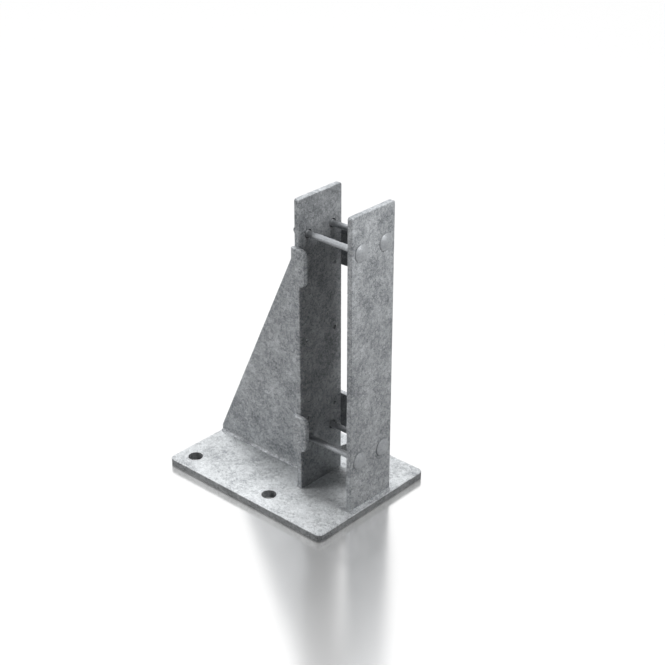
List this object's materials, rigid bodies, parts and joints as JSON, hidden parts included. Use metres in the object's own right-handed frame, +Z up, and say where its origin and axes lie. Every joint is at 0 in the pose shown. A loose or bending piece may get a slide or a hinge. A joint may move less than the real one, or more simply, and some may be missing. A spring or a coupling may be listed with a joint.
{
  "type": "timber post base",
  "caption": "Galvanised bolt-down post base: a flat base plate with two upright flat bars, one braced by a gusset, that hold a square timber post between cross bolts.",
  "frame": {"origin": "centre of the base plate on its underside", "axes": "+X from the gusset end of the plate to the end with the plain upright and the bolt heads, +Y across the plate, +Z up along the uprights"},
  "size_m": [0.25, 0.186, 0.379],
  "materials": {
    "galvanised_plate": "hot-dip galvanised, matt mottled grey",
    "galvanised_weld": "fillet weld under hot-dip galvanising, matt grey",
    "zinc_fastener": "zinc-coated fastener, satin grey"
  },
  "bodies": {
    "root": {"base_plate": "galvanised_plate", "braced_upright": "galvanised_plate", "outer_upright": "galvanised_plate", "gusset": "galvanised_plate", "guide_lower_near": "galvanised_plate", "bolt_lower_near": "zinc_fastener", "washer_lower_near": "zinc_fastener", "nut_lower_near": "zinc_fastener", "guide_lower_far": "galvanised_plate", "bolt_lower_far": "zinc_fastener", "washer_lower_far": "zinc_fastener", "nut_lower_far": "zinc_fastener", "guide_upper_near": "galvanised_plate", "bolt_upper_near": "zinc_fastener", "washer_upper_near": "zinc_fastener", "nut_upper_near": "zinc_fastener", "guide_upper_far": "galvanised_plate", "bolt_upper_far": "zinc_fastener", "washer_upper_far": "zinc_fastener", "nut_upper_far": "zinc_fastener", "weld_outer_upright": "galvanised_weld", "weld_braced_upright_near": "galvanised_weld", "weld_braced_upright_far": "galvanised_weld", "weld_gusset_base_near": "galvanised_weld", "weld_gusset_base_far": "galvanised_weld", "weld_gusset_back_near": "galvanised_weld", "weld_gusset_back_far": "galvanised_weld"}
  },
  "joints": []
}
